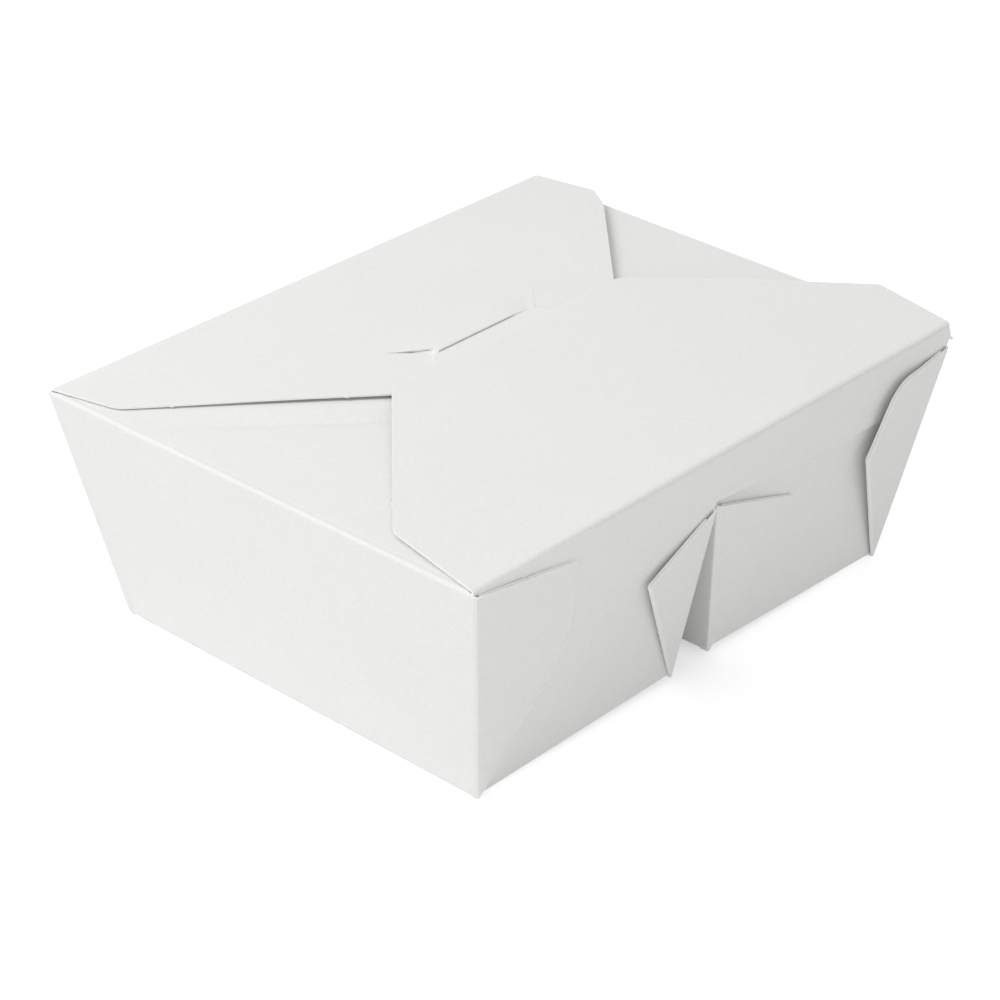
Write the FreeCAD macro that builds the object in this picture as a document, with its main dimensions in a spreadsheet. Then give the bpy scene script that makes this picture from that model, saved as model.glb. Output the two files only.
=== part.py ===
import FreeCAD, Part
import math
import os

# Folded paperboard food carton with two compartments, closed.
# The tray is one die-cut sheet: its floors, walls, hollow divider, glued corner webs, dust flaps and
# slotted flap are all the same board. The tab flap is the one panel that opens first, on its own crease.
# Millimetres and degrees. +Z is up, +X runs along the two notched end walls, the tab flap is hinged at -Y.

document = FreeCAD.newDocument("food_carton")
sheet = document.addObject("Spreadsheet::Sheet", "sizes")

SIZES = [
    # Board and the carton's body
    ("board", 0.5),
    ("base_length", 152.4),
    ("base_width", 119.8),
    ("wall_height", 63.5),
    ("side_flare", 10.7),
    ("end_flare", 10.8),
    ("compartment_tilt", 1.15),
    ("rim_length", 174.5),
    # Divider between the compartments
    ("left_floor_length", 69.1),
    ("right_floor_length", 68.7),
    ("divider_height", 50.0),
    ("divider_shift", -2.0),
    ("ridge_width", 0.8),
    # Glue band over the right compartment's end panels
    ("band_inner_depth", 14.4),
    ("band_outer_depth", 18.0),
    ("nesting", 1.1),
    ("panel_lap", 6.0),
    # Webs glued flat on the left compartment's corners
    ("web_top_drop", 1.5),
    ("web_reach", 24.5),
    ("web_inner_drop", 7.7),
    ("web_fold_height", 33.3),
    # Webs that stand proud at the right compartment's corners
    ("proud_angle", 9.0),
    ("proud_top", 62.0),
    ("proud_knee_reach", 12.0),
    ("proud_knee_height", 58.5),
    ("proud_reach", 22.5),
    ("proud_shoulder_height", 56.5),
    ("proud_fold_reach", 26.3),
    ("proud_fold_height", 36.0),
    # Webs beside the divider's notch
    ("web_end_drop", 1.2),
    ("left_tip_reach", 18.0),
    ("left_tip_height", 37.0),
    ("right_tip_reach", 22.0),
    ("right_tip_height", 37.7),
    # Dust flaps on the side walls
    ("dust_reach", 57.0),
    ("dust_inset", 2.5),
    ("dust_taper", 22.0),
    ("dust_corner", 9.0),
    # Slotted flap
    ("layer_gap", 0.3),
    ("slotted_reach", 79.0),
    ("slotted_near_shoulder", 7.5),
    ("slotted_near_shoulder_reach", 18.5),
    ("slotted_near_end", 71.3),
    ("slotted_far_shoulder", 177.5),
    ("slotted_far_shoulder_reach", 20.0),
    ("slotted_far_end", 119.2),
    ("slotted_far_corner", 3.0),
    ("flap_corner", 6.0),
    # Slit in the slotted flap
    ("slit_distance", 57.2),
    ("slit_start", 75.3),
    ("slit_length", 36.4),
    ("slit_leg", 9.7),
    ("slit_leg_width", 0.7),
    # Tab flap
    ("tab_flap_rise", 1.0),
    ("tab_flap_start", 0.4),
    ("tab_flap_reach", 77.8),
    ("tab_near_shoulder", 7.9),
    ("tab_near_shoulder_reach", 31.4),
    ("tab_near_end", 54.3),
    ("tab_near_end_corner", 3.0),
    ("tab_far_shoulder", 180.0),
    ("tab_far_shoulder_reach", 25.5),
    ("tab_far_end", 136.0),
    ("tab_far_bow", 1.4),
    ("tab_far_bend", 60.0),
    ("tab_far_corner", 2.0),
    # Tongue of the tab flap
    ("tongue_length", 16.0),
    ("tongue_taper", 3.0),
    ("tongue_corner", 5.0),
    ("tongue_shoulder", 5.0),
    ("neck_near_flare", 7.0),
    ("neck_far_flare", 1.5),
    ("tongue_play", 0.35),
]

for row, (alias, value) in enumerate(SIZES, start=1):
    sheet.set("A%d" % row, alias)
    sheet.set("B%d" % row, str(value))
    sheet.setAlias("B%d" % row, alias)
document.recompute()


def size(alias):
    """Reads one driving dimension from the sheet."""
    return float(sheet.get(alias))


BOARD = size("board")
HEIGHT = size("wall_height")
HALF_BASE = size("base_length") / 2
TILT = math.radians(size("compartment_tilt"))
SIDE_SLOPE = size("side_flare") / HEIGHT
RIM_HALF_WIDTH = size("base_width") / 2 + size("end_flare")

# The carton stands so that its overall box is centred on the origin. The near end of that box is the left
# rim, and the far end is the tab flap's far shoulder, which overhangs the right rim.
LEFT_RIM = -HALF_BASE - size("side_flare") * math.cos(TILT) - HEIGHT * math.sin(TILT)
FAR_SHOULDER = LEFT_RIM + size("tab_far_shoulder") * math.cos(TILT)
MIDDLE = -(LEFT_RIM + FAR_SHOULDER) / 2

# Each compartment is tilted about its outer bottom edge, because the divider between them pulls both
# floors up. A compartment has its own frame: u along its floor from that edge, w up from the floor.
LEFT_PLACE = FreeCAD.Placement(
    FreeCAD.Vector(MIDDLE - HALF_BASE, 0, 0),
    FreeCAD.Rotation(FreeCAD.Vector(0, 1, 0), -size("compartment_tilt")),
)
RIGHT_PLACE = FreeCAD.Placement(
    FreeCAD.Vector(MIDDLE + HALF_BASE, 0, 0),
    FreeCAD.Rotation(FreeCAD.Vector(0, 1, 0), size("compartment_tilt")),
)


def left_point(u, w):
    """A point of the left compartment's frame in the carton's XZ plane."""
    return LEFT_PLACE.multVec(FreeCAD.Vector(u, 0, w))


def right_point(u, w):
    """A point of the right compartment's frame, where u runs back towards the divider."""
    return RIGHT_PLACE.multVec(FreeCAD.Vector(-u, 0, w))


def polygon(points):
    """A flat face with straight sides."""
    return Part.Face(Part.makePolygon(points + [points[0]]))


def rounded_outline(corners):
    """A flat face in the XY plane from (x, y, radius) corners, each corner a tangent arc."""
    edges = []
    starts = []
    ends = []
    for i, (x, y, radius) in enumerate(corners):
        corner = FreeCAD.Vector(x, y, 0)
        before = FreeCAD.Vector(corners[i - 1][0], corners[i - 1][1], 0) - corner
        after_x, after_y, _ = corners[(i + 1) % len(corners)]
        after = FreeCAD.Vector(after_x, after_y, 0) - corner
        if radius <= 0:
            starts.append(corner)
            ends.append(corner)
            continue
        half_turn = before.getAngle(after) / 2
        setback = radius / math.tan(half_turn)
        before.normalize()
        after.normalize()
        starts.append(corner + before * setback)
        ends.append(corner + after * setback)
        bisector = before + after
        bisector.normalize()
        middle = corner + bisector * (radius / math.sin(half_turn) - radius)
        edges.append((i, Part.Arc(starts[-1], middle, ends[-1]).toShape()))
    arcs = dict(edges)
    outline = []
    for i in range(len(corners)):
        if i in arcs:
            outline.append(arcs[i])
        following = (i + 1) % len(corners)
        if ends[i].distanceToPoint(starts[following]) > 1e-6:
            outline.append(Part.makeLine(ends[i], starts[following]))
    return Part.Face(Part.Wire(outline))


def thickened(points, thickness):
    """The band of board on the upper side of a creased line in the XZ plane."""
    offset_lines = []
    for start, end in zip(points, points[1:]):
        along = end - start
        along.normalize()
        upward = FreeCAD.Vector(-along.z, 0, along.x)
        offset_lines.append((start + upward * thickness, end + upward * thickness))
    inner = [offset_lines[0][0]]
    for (a, b), (c, d) in zip(offset_lines, offset_lines[1:]):
        first = b - a
        second = d - c
        cross = first.x * second.z - first.z * second.x
        share = ((c.x - a.x) * second.z - (c.z - a.z) * second.x) / cross
        inner.append(a + first * share)
    inner.append(offset_lines[-1][1])
    return polygon(points + list(reversed(inner)))


def feature(name, shape):
    """A document object that holds a shape worked out from the sheet's sizes."""
    item = document.addObject("Part::Feature", name)
    item.Shape = shape
    return item


def extrusion(name, outline, direction, symmetric, length_expression):
    """An extruded outline whose depth follows the sheet."""
    item = document.addObject("Part::Extrusion", name)
    item.Base = outline
    item.DirMode = "Custom"
    item.Dir = direction
    item.Solid = True
    item.Symmetric = symmetric
    item.setExpression("LengthFwd", length_expression)
    return item


def boolean(kind, name, first, second):
    """A two-piece cut or common."""
    item = document.addObject(kind, name)
    item.Base = first
    item.Tool = second
    return item


def end_wedge(name, layers, place):
    """The block between the two flared end walls, some board layers inside their outer faces."""
    item = document.addObject("Part::Wedge", name)
    inset = "(%s) / cos(atan(sizes.end_flare / sizes.wall_height))" % layers
    half_bottom = "(sizes.base_width / 2 - %s)" % inset
    half_top = "(sizes.base_width / 2 + sizes.end_flare - %s)" % inset
    for side in ("Xmin", "X2min"):
        item.setExpression(side, "-sizes.rim_length - sizes.base_length")
    for side in ("Xmax", "X2max"):
        item.setExpression(side, "sizes.rim_length + sizes.base_length")
    item.Ymin = 0
    item.setExpression("Ymax", "sizes.wall_height")
    item.setExpression("Zmin", "-" + half_bottom)
    item.setExpression("Zmax", half_bottom)
    item.setExpression("Z2min", "-" + half_top)
    item.setExpression("Z2max", half_top)
    upright = FreeCAD.Rotation(FreeCAD.Vector(1, 0, 0), 90)
    item.Placement = place.multiply(FreeCAD.Placement(FreeCAD.Vector(), upright))
    return item


ACROSS = FreeCAD.Vector(0, 1, 0)
UP = FreeCAD.Vector(0, 0, 1)
DEPTH = "4 * sizes.base_width"


# The end walls' layers, as solid blocks to cut panels from
left_web_block = end_wedge("left_web_block", "-2 * sizes.board", LEFT_PLACE)
left_outer_block = end_wedge("left_outer_block", "0", LEFT_PLACE)
left_inner_block = end_wedge("left_inner_block", "sizes.board", LEFT_PLACE)
right_web_block = end_wedge("right_web_block", "sizes.nesting - 2 * sizes.board", RIGHT_PLACE)
right_side_block = end_wedge("right_side_block", "0", RIGHT_PLACE)
right_outer_block = end_wedge("right_outer_block", "sizes.nesting", RIGHT_PLACE)
right_inner_block = end_wedge("right_inner_block", "sizes.nesting + sizes.board", RIGHT_PLACE)


# Side walls, floors and the hollow divider: one creased line across the carton
ridge = FreeCAD.Vector(MIDDLE + size("divider_shift"), 0, size("divider_height"))
ridge_half = FreeCAD.Vector(size("ridge_width") / 2, 0, 0)
left_crease_line = [
    left_point(-size("side_flare"), HEIGHT),
    left_point(0, 0),
    left_point(size("left_floor_length"), 0),
    ridge - ridge_half,
    ridge + ridge_half,
]
right_crease_line = [
    ridge - ridge_half,
    ridge + ridge_half,
    right_point(size("right_floor_length"), 0),
    right_point(0, 0),
    right_point(-size("side_flare"), HEIGHT),
]
left_fold = extrusion(
    "left_fold", feature("left_crease", thickened(left_crease_line, BOARD)), ACROSS, True, DEPTH
)
right_fold = extrusion(
    "right_fold", feature("right_crease", thickened(right_crease_line, BOARD)), ACROSS, True, DEPTH
)


# The left compartment's end panels run on as a glue band over the right compartment's
corner_top = right_point(-size("side_flare"), HEIGHT)
lid_corner = left_point(size("rim_length") - size("side_flare"), HEIGHT)
band_start = ridge + ridge_half
band_rise = (band_start.x - LEFT_PLACE.Base.x) * math.tan(TILT)
band_start.z = (HEIGHT - size("band_inner_depth")) / math.cos(TILT) + band_rise
band_level = HEIGHT - size("band_outer_depth")
band_end = right_point(-SIDE_SLOPE * band_level, band_level)
left_panel_outline = polygon(
    [
        left_point(-size("side_flare"), HEIGHT),
        left_point(0, 0),
        left_point(size("left_floor_length"), 0),
        ridge - ridge_half,
        ridge + ridge_half,
        band_start,
        band_end,
        corner_top,
        lid_corner,
    ]
)
lap_top = HEIGHT - size("panel_lap") / 2
right_panel_outline = polygon(
    [
        right_point(-SIDE_SLOPE * lap_top, lap_top),
        right_point(0, 0),
        right_point(size("right_floor_length"), 0),
        ridge + ridge_half,
        ridge + ridge_half + UP * size("panel_lap"),
    ]
)
left_web_outline = polygon(
    [
        left_point(0, 0),
        left_point(-SIDE_SLOPE * (HEIGHT - size("web_top_drop")), HEIGHT - size("web_top_drop")),
        left_point(size("web_reach"), HEIGHT - size("web_inner_drop")),
        left_point(size("web_reach"), size("web_fold_height")),
    ]
)


def down_leg(top, foot):
    """The point of a divider leg where its webs end, just under the ridge."""
    along = foot - top
    along.normalize()
    return top + along * size("web_end_drop")


left_notch_web_outline = polygon(
    [
        left_point(size("left_floor_length"), 0),
        left_point(size("left_floor_length") - size("left_tip_reach"), size("left_tip_height")),
        down_leg(ridge - ridge_half, left_crease_line[2]),
    ]
)
right_notch_web_outline = polygon(
    [
        right_point(size("right_floor_length"), 0),
        right_point(size("right_floor_length") - size("right_tip_reach"), size("right_tip_height")),
        down_leg(ridge + ridge_half, right_crease_line[2]),
    ]
)


def panels(name, outline, outer_block, inner_block):
    """The two end panels of one outline, cut from the layer between two blocks."""
    prism = extrusion(name + "_prism", feature(name + "_outline", outline), ACROSS, True, DEPTH)
    layer = boolean("Part::Cut", name + "_layer", outer_block, inner_block)
    return boolean("Part::Common", name, prism, layer)


left_sheet = boolean("Part::Common", "left_sheet", left_fold, left_outer_block)
right_sheet = boolean("Part::Common", "right_sheet", right_fold, right_outer_block)
side_crease = feature("side_crease", thickened(right_crease_line[-2:], BOARD))
side_fold = extrusion("side_fold", side_crease, ACROSS, True, DEPTH)
right_side = boolean("Part::Common", "right_side", side_fold, right_side_block)
left_panels = panels("left_panels", left_panel_outline, left_outer_block, left_inner_block)
right_panels = panels("right_panels", right_panel_outline, right_outer_block, right_inner_block)
left_webs = panels("left_webs", left_web_outline, left_web_block, left_outer_block)
left_notch_webs = panels("left_notch_webs", left_notch_web_outline, left_web_block, left_outer_block)
right_notch_webs = panels("right_notch_webs", right_notch_web_outline, right_web_block, right_outer_block)


# Webs at the right compartment's corners: glued only near the crease, so they stand proud
def proud_web():
    """The web at the corner by the tab flap, hinged on the corner edge and swung out of the wall."""
    half_width = size("base_width") / 2
    edge_foot = RIGHT_PLACE.multVec(FreeCAD.Vector(0, -half_width, 0))
    edge_top = RIGHT_PLACE.multVec(FreeCAD.Vector(size("side_flare"), -RIM_HALF_WIDTH, HEIGHT))
    floor_way = RIGHT_PLACE.Rotation.multVec(FreeCAD.Vector(-1, 0, 0))
    upward = edge_top - edge_foot
    upward.normalize()
    inward = floor_way - upward * floor_way.dot(upward)
    inward.normalize()
    swing = FreeCAD.Rotation(upward, size("proud_angle"))
    reach = swing.multVec(inward)
    corners = [
        (0, 0),
        (0, size("proud_top")),
        (size("proud_knee_reach"), size("proud_knee_height")),
        (size("proud_reach"), size("proud_shoulder_height")),
        (size("proud_fold_reach"), size("proud_fold_height")),
    ]
    outline = polygon([edge_foot + reach * across + upward * rise for across, rise in corners])
    into_wall = reach.cross(upward)
    return outline.extrude(into_wall * (2 * BOARD))


front_proud_web = feature("front_proud_web", proud_web())
back_proud_web = document.addObject("Part::Mirroring", "back_proud_web")
back_proud_web.Source = front_proud_web
back_proud_web.Normal = ACROSS


# Dust flaps fold in from the side walls
def dust_flap(name, place, inward):
    """A tapered flap on a side wall's rim, reaching inward along +X or -X of the compartment's frame."""
    half_hinge = RIM_HALF_WIDTH - size("dust_inset")
    half_tip = half_hinge - size("dust_taper")
    reach = inward * size("dust_reach")
    radius = size("dust_corner")
    tip_corners = [(reach, -half_tip, radius), (reach, half_tip, radius)]
    corners = [(0, -half_hinge, 0)] + tip_corners + [(0, half_hinge, 0)]
    if inward < 0:
        corners.reverse()
    outline = feature(name + "_outline", rounded_outline(corners))
    flap = extrusion(name, outline, UP, False, "sizes.board")
    hinge = FreeCAD.Vector(-inward * size("side_flare"), 0, HEIGHT - BOARD)
    flap.Placement = place.multiply(FreeCAD.Placement(hinge, FreeCAD.Rotation()))
    return flap


left_dust_flap = dust_flap("left_dust_flap", LEFT_PLACE, 1)
right_dust_flap = dust_flap("right_dust_flap", RIGHT_PLACE, -1)


# The slotted flap lies over the dust flaps. Its outline runs along its hinge, and away from it at -Y.
def strip(start, end, width):
    """A thin straight cut between two points of a flap."""
    along = end - start
    along.normalize()
    side = FreeCAD.Vector(-along.y, along.x, 0) * (width / 2)
    return polygon([start - side, end - side, end + side, start + side])


slit_line = -size("slit_distance")
slit_end = size("slit_start") + size("slit_length")
slit_width = BOARD + 2 * size("tongue_play")
leg = size("slit_leg")
slit_left = FreeCAD.Vector(size("slit_start"), slit_line, 0)
slit_right = FreeCAD.Vector(slit_end, slit_line, 0)
slit = strip(slit_left, slit_right, slit_width).fuse(
    [
        strip(slit_left, slit_left + FreeCAD.Vector(-leg, leg, 0), size("slit_leg_width")),
        strip(slit_right, slit_right + FreeCAD.Vector(leg, leg, 0), size("slit_leg_width")),
    ]
)
slotted_outline = rounded_outline(
    [
        (size("tab_flap_start"), 0, 0),
        (size("slotted_near_shoulder"), -size("slotted_near_shoulder_reach"), size("flap_corner")),
        (size("slotted_near_end"), -size("slotted_reach"), size("flap_corner")),
        (size("slotted_far_end"), -size("slotted_reach"), size("flap_corner")),
        (size("slotted_far_shoulder"), -size("slotted_far_shoulder_reach"), size("slotted_far_corner")),
        (size("rim_length"), 0, 0),
    ]
).cut(slit)
slotted_flap = extrusion(
    "slotted_flap", feature("slotted_outline", slotted_outline), UP, False, "sizes.board"
)
slotted_hinge = FreeCAD.Vector(-size("side_flare"), RIM_HALF_WIDTH, HEIGHT + size("layer_gap"))
slotted_flap.Placement = LEFT_PLACE.multiply(FreeCAD.Placement(slotted_hinge, FreeCAD.Rotation()))

# The wall's last board width turns up past the dust flaps to carry the slotted flap
slotted_crease = document.addObject("Part::Box", "slotted_crease")
slotted_crease.setExpression("Length", "sizes.rim_length - sizes.tab_flap_start")
slotted_crease.setExpression("Width", "sizes.board")
slotted_crease.setExpression("Height", "2 * sizes.board + sizes.layer_gap")
crease_corner = slotted_hinge + FreeCAD.Vector(size("tab_flap_start"), -BOARD, -BOARD - size("layer_gap"))
slotted_crease.Placement = LEFT_PLACE.multiply(FreeCAD.Placement(crease_corner, FreeCAD.Rotation()))


tray = document.addObject("Part::MultiFuse", "tray")
tray.Shapes = [
    left_sheet,
    right_sheet,
    right_side,
    left_panels,
    right_panels,
    left_webs,
    left_notch_webs,
    right_notch_webs,
    front_proud_web,
    back_proud_web,
    left_dust_flap,
    right_dust_flap,
    slotted_flap,
    slotted_crease,
]
tray.Label = "tray"


# The tab flap closes over everything, and its tongue goes down through the slit
tongue_left = size("slit_start") + size("tongue_play")
tongue_right = slit_end - size("tongue_play")
slit_from_hinge = 2 * RIM_HALF_WIDTH - size("slit_distance")
far_middle = FreeCAD.Vector(
    (size("tab_far_end") + size("tab_far_shoulder")) / 2,
    (size("tab_flap_reach") + size("tab_far_shoulder_reach")) / 2,
    0,
)
far_run = FreeCAD.Vector(
    size("tab_far_shoulder") - size("tab_far_end"),
    size("tab_far_shoulder_reach") - size("tab_flap_reach"),
    0,
)
far_run.normalize()
bowed = far_middle + FreeCAD.Vector(-far_run.y, far_run.x, 0) * size("tab_far_bow")
tab_outline = rounded_outline(
    [
        (size("rim_length"), size("layer_gap") / 2, 0),
        (size("tab_far_shoulder"), size("tab_far_shoulder_reach"), size("tab_far_corner")),
        (bowed.x, bowed.y, size("tab_far_bend")),
        (size("tab_far_end"), size("tab_flap_reach"), size("flap_corner")),
        (tongue_right - size("neck_far_flare"), size("tab_flap_reach"), size("neck_far_flare") / 2),
        (tongue_right, slit_from_hinge + BOARD / 2, 0),
        (tongue_left, slit_from_hinge + BOARD / 2, 0),
        (tongue_left - size("neck_near_flare"), size("tab_flap_reach"), size("neck_near_flare") / 2),
        (size("tab_near_end"), size("tab_flap_reach"), size("tab_near_end_corner")),
        (size("tab_near_shoulder"), size("tab_near_shoulder_reach"), size("flap_corner")),
        (size("tab_flap_start"), size("layer_gap") / 2, 0),
    ]
)
tab_panel = extrusion("tab_panel", feature("tab_outline", tab_outline), UP, False, "sizes.board")
tab_hinge = FreeCAD.Vector(-size("side_flare"), -RIM_HALF_WIDTH, HEIGHT + size("layer_gap"))
tab_rise = FreeCAD.Rotation(FreeCAD.Vector(1, 0, 0), size("tab_flap_rise"))
tab_panel.Placement = LEFT_PLACE.multiply(FreeCAD.Placement(tab_hinge, tab_rise))

slit_corner = FreeCAD.Vector(-size("side_flare"), RIM_HALF_WIDTH - size("slit_distance"), HEIGHT - BOARD)
neck = document.addObject("Part::Box", "neck")
neck.setExpression("Length", "sizes.slit_length - 2 * sizes.tongue_play")
neck.setExpression("Width", "sizes.board")
neck.setExpression(
    "Height",
    "1.5 * sizes.board + sizes.layer_gap"
    " + (sizes.base_width + 2 * sizes.end_flare - sizes.slit_distance) * sin(sizes.tab_flap_rise * 1 deg)",
)
neck_corner = slit_corner + FreeCAD.Vector(tongue_left, -BOARD / 2, 0)
neck.Placement = LEFT_PLACE.multiply(FreeCAD.Placement(neck_corner, FreeCAD.Rotation()))

tongue_outline = rounded_outline(
    [
        (tongue_left, -BOARD / 2, 0),
        (tongue_right, -BOARD / 2, 0),
        (tongue_right + size("tongue_taper"), size("tongue_shoulder"), size("tongue_taper") / 2),
        (tongue_right, size("tongue_length"), size("tongue_corner")),
        (tongue_left, size("tongue_length"), size("tongue_corner")),
        (tongue_left - size("tongue_taper"), size("tongue_shoulder"), size("tongue_taper") / 2),
    ]
)
tongue = extrusion("tongue", feature("tongue_outline", tongue_outline), UP, False, "sizes.board")
tongue.Placement = LEFT_PLACE.multiply(FreeCAD.Placement(slit_corner, FreeCAD.Rotation()))

tab_flap = document.addObject("Part::MultiFuse", "tab_flap")
tab_flap.Shapes = [tab_panel, neck, tongue]
tab_flap.Label = "tab_flap"

document.recompute()

for item in document.Objects:
    if "Invalid" in item.State or "Error" in item.State:
        raise RuntimeError("%s did not build: %s" % (item.Name, item.State))

os.makedirs("parts", exist_ok=True)
for piece in (tray, tab_flap):
    shape = piece.Shape
    if shape.isNull() or not shape.isValid():
        raise RuntimeError("%s has no valid shape" % piece.Label)
    box = shape.BoundBox
    print(
        "%s: %d solid, %.1f mm3, X %.2f to %.2f, Y %.2f to %.2f, Z %.2f to %.2f"
        % (
            piece.Label,
            len(shape.Solids),
            shape.Volume,
            box.XMin,
            box.XMax,
            box.YMin,
            box.YMax,
            box.ZMin,
            box.ZMax,
        )
    )
    shape.exportStep("parts/%s.step" % piece.Label)

crease_middle = tab_hinge + FreeCAD.Vector(size("rim_length") / 2, 0, -size("layer_gap") / 2)
print("tab flap crease through", LEFT_PLACE.multVec(crease_middle))
print("tab flap crease along", LEFT_PLACE.Rotation.multVec(FreeCAD.Vector(1, 0, 0)))
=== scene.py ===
# %% [markdown]
# # A two-compartment food carton in plain white board
# The carton is one die-cut sheet of paperboard. Its floors and walls come up from the sheet, a hollow
# divider is pulled up between the two compartments, glued webs hold the corners, and three kinds of flap
# close it: dust flaps from the short sides, a slotted flap from the back and a tab flap from the front.
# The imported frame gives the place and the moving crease. This script gives the board its thickness,
# its rounded folds, its two-ply webs and its paper surface.

# %% Frame and tools
import math

import bmesh
import bpy
from mathutils import Matrix, Vector, noise


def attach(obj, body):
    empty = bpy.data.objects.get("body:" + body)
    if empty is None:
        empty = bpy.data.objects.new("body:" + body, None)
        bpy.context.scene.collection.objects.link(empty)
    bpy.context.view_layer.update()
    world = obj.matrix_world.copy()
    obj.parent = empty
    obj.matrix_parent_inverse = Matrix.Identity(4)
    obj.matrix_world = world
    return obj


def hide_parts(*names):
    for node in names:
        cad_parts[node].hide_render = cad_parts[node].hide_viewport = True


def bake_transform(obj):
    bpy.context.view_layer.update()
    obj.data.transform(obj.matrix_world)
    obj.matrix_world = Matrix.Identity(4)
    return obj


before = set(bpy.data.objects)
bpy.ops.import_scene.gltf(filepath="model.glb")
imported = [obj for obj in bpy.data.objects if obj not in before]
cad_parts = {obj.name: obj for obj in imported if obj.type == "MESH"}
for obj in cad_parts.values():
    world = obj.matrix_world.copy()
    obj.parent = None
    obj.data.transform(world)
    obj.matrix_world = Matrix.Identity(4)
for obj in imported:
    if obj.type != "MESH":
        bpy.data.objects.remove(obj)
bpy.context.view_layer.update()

# %% [markdown]
# ## Driving sizes
# A carton is measured as its maker would: the base, the height of a wall from its floor, how far each wall
# leans out, and how thick the board is. Everything else is worked out from these. The divider pulls both
# floors up by a little more than a degree, so each compartment has its own tilted frame: u runs along its
# floor from the outer bottom edge, and w rises from the floor.

# %% Driving sizes
MM = 0.001
BOARD = 0.5 * MM
BASE_HALF_LENGTH = 76.2 * MM
BASE_HALF_WIDTH = 59.9 * MM
WALL_HEIGHT = 63.5 * MM
SIDE_FLARE = 10.7 * MM
END_FLARE = 10.8 * MM
RIM_LENGTH = 174.5 * MM
FAR_OVERHANG = 180 * MM
TILT = math.radians(1.15)
FOLD_RADIUS = 0.8 * MM
STRIP = 1.1 * MM
LAYER_GAP = 0.3 * MM
PANEL_INSET = 0.3 * MM
NESTING = 1.1 * MM
PLY_GAP = 0.06 * MM
UP = Vector((0, 0, 1))
ALONG = Vector((1, 0, 0))
FRONT = Vector((0, -1, 0))

left_rim = -BASE_HALF_LENGTH - SIDE_FLARE * math.cos(TILT) - WALL_HEIGHT * math.sin(TILT)
middle = -left_rim - FAR_OVERHANG * math.cos(TILT) / 2
RIM_HALF_WIDTH = BASE_HALF_WIDTH + END_FLARE
SIDE_LEAN = SIDE_FLARE / WALL_HEIGHT
END_LEAN = END_FLARE / WALL_HEIGHT

LEFT = Matrix.Translation((middle - BASE_HALF_LENGTH, 0, 0)) @ Matrix.Rotation(-TILT, 4, "Y")
RIGHT = (
    Matrix.Translation((middle + BASE_HALF_LENGTH, 0, 0))
    @ Matrix.Rotation(TILT, 4, "Y")
    @ Matrix.Scale(-1, 4, (1, 0, 0))
)
print("middle of the carton at x =", round(middle / MM, 3), "mm")

# %% [markdown]
# ## Paper surface
# Uncoated white board shows three things up close: short fibres that scatter the light, faint lines from
# the wire it was made on, and a slow change of tone from sheet to sheet. They could be painted, but
# a pattern worked out from Object coordinates never stretches. The fibres, the lines and the tone
# are used by the outer face, the inner face and the cut edge alike, so they are one shader node group.

# %% Paper surface
def new_group(name, inputs, outputs):
    """A shader node group with named value inputs and outputs."""
    group = bpy.data.node_groups.new(name, "ShaderNodeTree")
    for socket in inputs:
        group.interface.new_socket(socket, in_out="INPUT", socket_type="NodeSocketFloat")
    for socket, kind in outputs:
        group.interface.new_socket(socket, in_out="OUTPUT", socket_type=kind)
    return group, group.nodes.new("NodeGroupInput"), group.nodes.new("NodeGroupOutput")


def math_node(tree, operation, first, second):
    """A Math node fed by sockets or plain numbers."""
    node = tree.nodes.new("ShaderNodeMath")
    node.operation = operation
    for socket, value in zip(node.inputs, (first, second)):
        if isinstance(value, (int, float)):
            socket.default_value = value
        else:
            tree.links.new(value, socket)
    return node.outputs[0]


def noise_node(tree, place, scale, detail, roughness):
    """A noise pattern on the piece's own Object coordinates."""
    node = tree.nodes.new("ShaderNodeTexNoise")
    node.inputs["Scale"].default_value = scale
    node.inputs["Detail"].default_value = detail
    node.inputs["Roughness"].default_value = roughness
    tree.links.new(place, node.inputs["Vector"])
    return node.outputs["Fac"]


# Scale per metre, detail and roughness of each noise pattern
FIBRE_NOISE = (1900, 3, 0.7)
CLUMP_NOISE = (420, 4, 0.6)
TONE_NOISE = (24, 3, 0.5)
NOISE_MEAN = 0.5
FIBRE_TINT = 0.2
WIRE_SCALE = 560
WIRE_DISTORTION = 1.5
LOWEST_ROUGHNESS = 0.62
ROUGHNESS_SPREAD = 0.18

paper, paper_in, paper_out = new_group(
    "paper_surface",
    ["Fibre", "Wire", "Tone"],
    [("Height", "NodeSocketFloat"), ("Shade", "NodeSocketFloat"), ("Roughness", "NodeSocketFloat")],
)
place = paper.nodes.new("ShaderNodeTexCoord").outputs["Object"]
fibre = noise_node(paper, place, *FIBRE_NOISE)
clump = noise_node(paper, place, *CLUMP_NOISE)
tone = noise_node(paper, place, *TONE_NOISE)
wire = paper.nodes.new("ShaderNodeTexWave")
wire.bands_direction = "DIAGONAL"
wire.inputs["Scale"].default_value = WIRE_SCALE
wire.inputs["Distortion"].default_value = WIRE_DISTORTION
paper.links.new(place, wire.inputs["Vector"])
strands = math_node(paper, "ADD", fibre, clump)
fibre_height = math_node(paper, "MULTIPLY", strands, paper_in.outputs["Fibre"])
wire_height = math_node(paper, "MULTIPLY", wire.outputs["Fac"], paper_in.outputs["Wire"])
paper.links.new(math_node(paper, "ADD", fibre_height, wire_height), paper_out.inputs["Height"])
speckle = math_node(paper, "SUBTRACT", math_node(paper, "ADD", tone, clump), 2 * NOISE_MEAN)
shade = math_node(paper, "MULTIPLY", speckle, paper_in.outputs["Tone"])
fibre_tint = math_node(paper, "MULTIPLY", math_node(paper, "SUBTRACT", fibre, NOISE_MEAN), FIBRE_TINT)
tinted = math_node(paper, "ADD", math_node(paper, "ADD", shade, fibre_tint), 1.0)
paper.links.new(tinted, paper_out.inputs["Shade"])
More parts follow.
